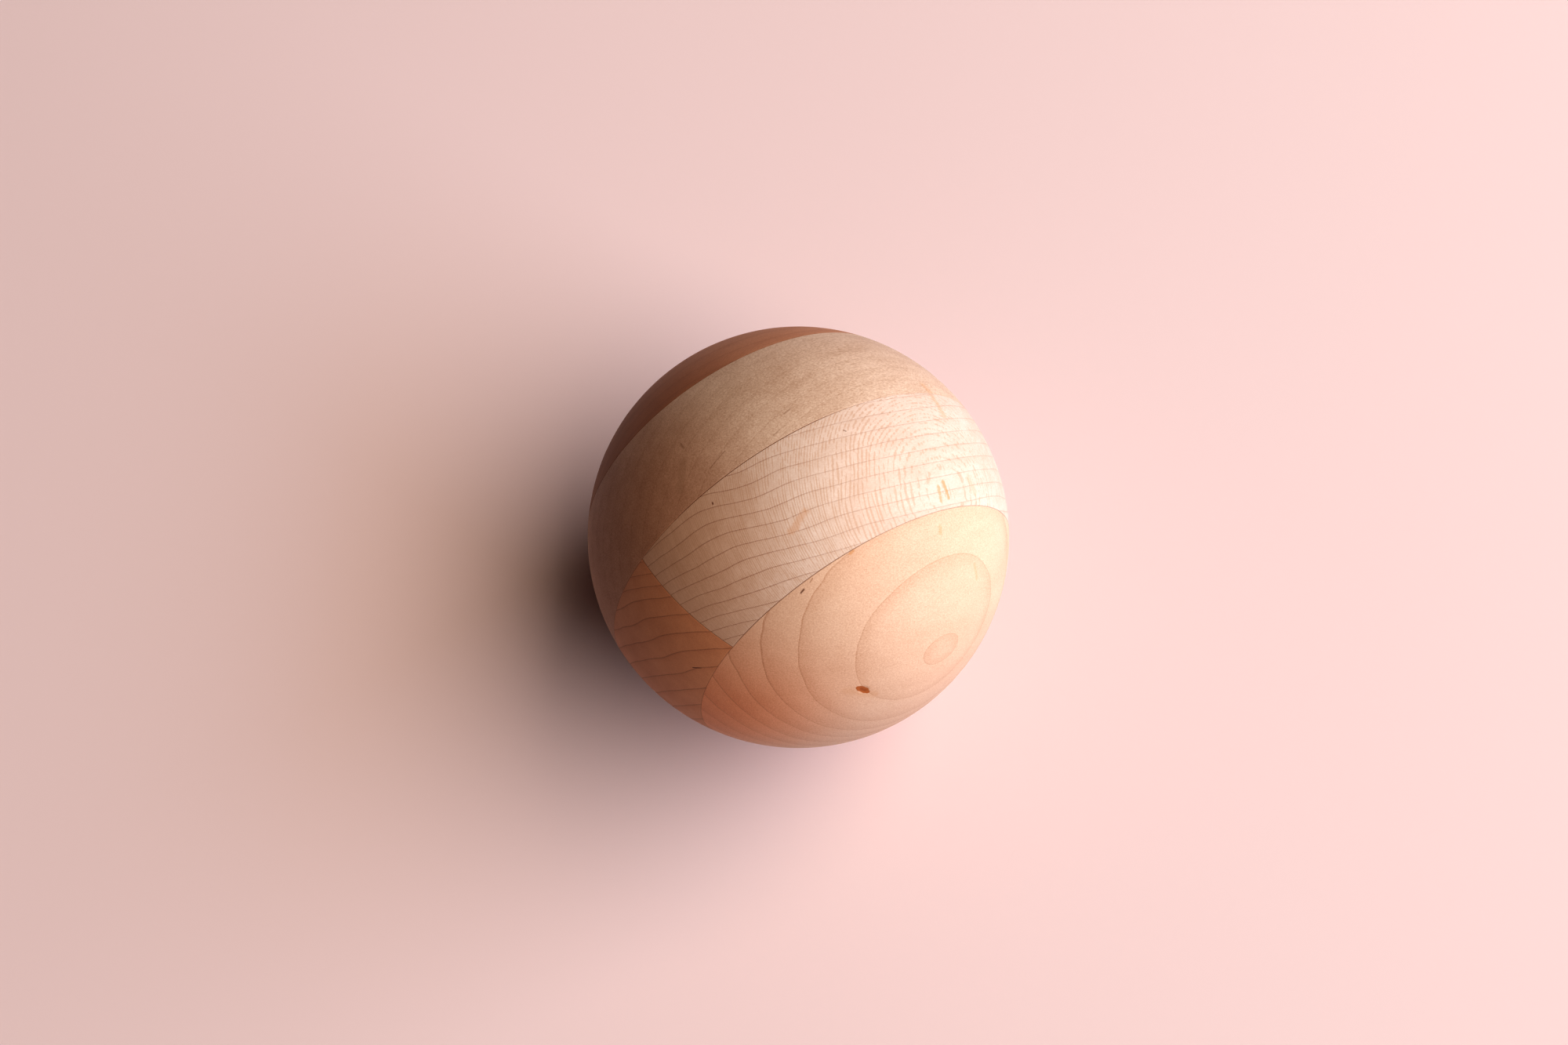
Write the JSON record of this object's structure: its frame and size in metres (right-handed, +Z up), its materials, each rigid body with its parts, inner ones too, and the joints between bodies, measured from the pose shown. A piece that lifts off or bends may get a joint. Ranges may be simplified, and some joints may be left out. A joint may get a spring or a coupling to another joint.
{
  "type": "wooden ball",
  "caption": "Solid wooden ball turned from a glued stack of pale hardwood boards, one of them two staves side by side; rests on its own surface or in a ring cradle.",
  "frame": {"origin": "centre of the ball", "axes": "+Z up as the ball rests, +X to the right and +Y away when it is seen from the front; the glued boards are stacked along a line that leans forward and right of level, which the part's source gives as three turns"},
  "size_m": [0.075, 0.075, 0.075],
  "materials": {
    "front_cap_maple": "fine-sanded flat-sawn maple, satin, with growth rings as closed loops and one small dark knot",
    "light_stave_maple": "fine-sanded quarter and end grain of pale maple, satin, with rays and flecks",
    "dark_stave_maple": "fine-sanded end grain of redder maple, satin",
    "centre_board_maple": "fine-sanded maple, satin, with close faint growth rings",
    "back_cap_maple": "fine-sanded reddish maple heartwood, satin"
  },
  "bodies": {
    "root": {"front_cap": "front_cap_maple", "light_stave": "light_stave_maple", "dark_stave": "dark_stave_maple", "centre_board": "centre_board_maple", "back_cap": "back_cap_maple"}
  },
  "joints": []
}
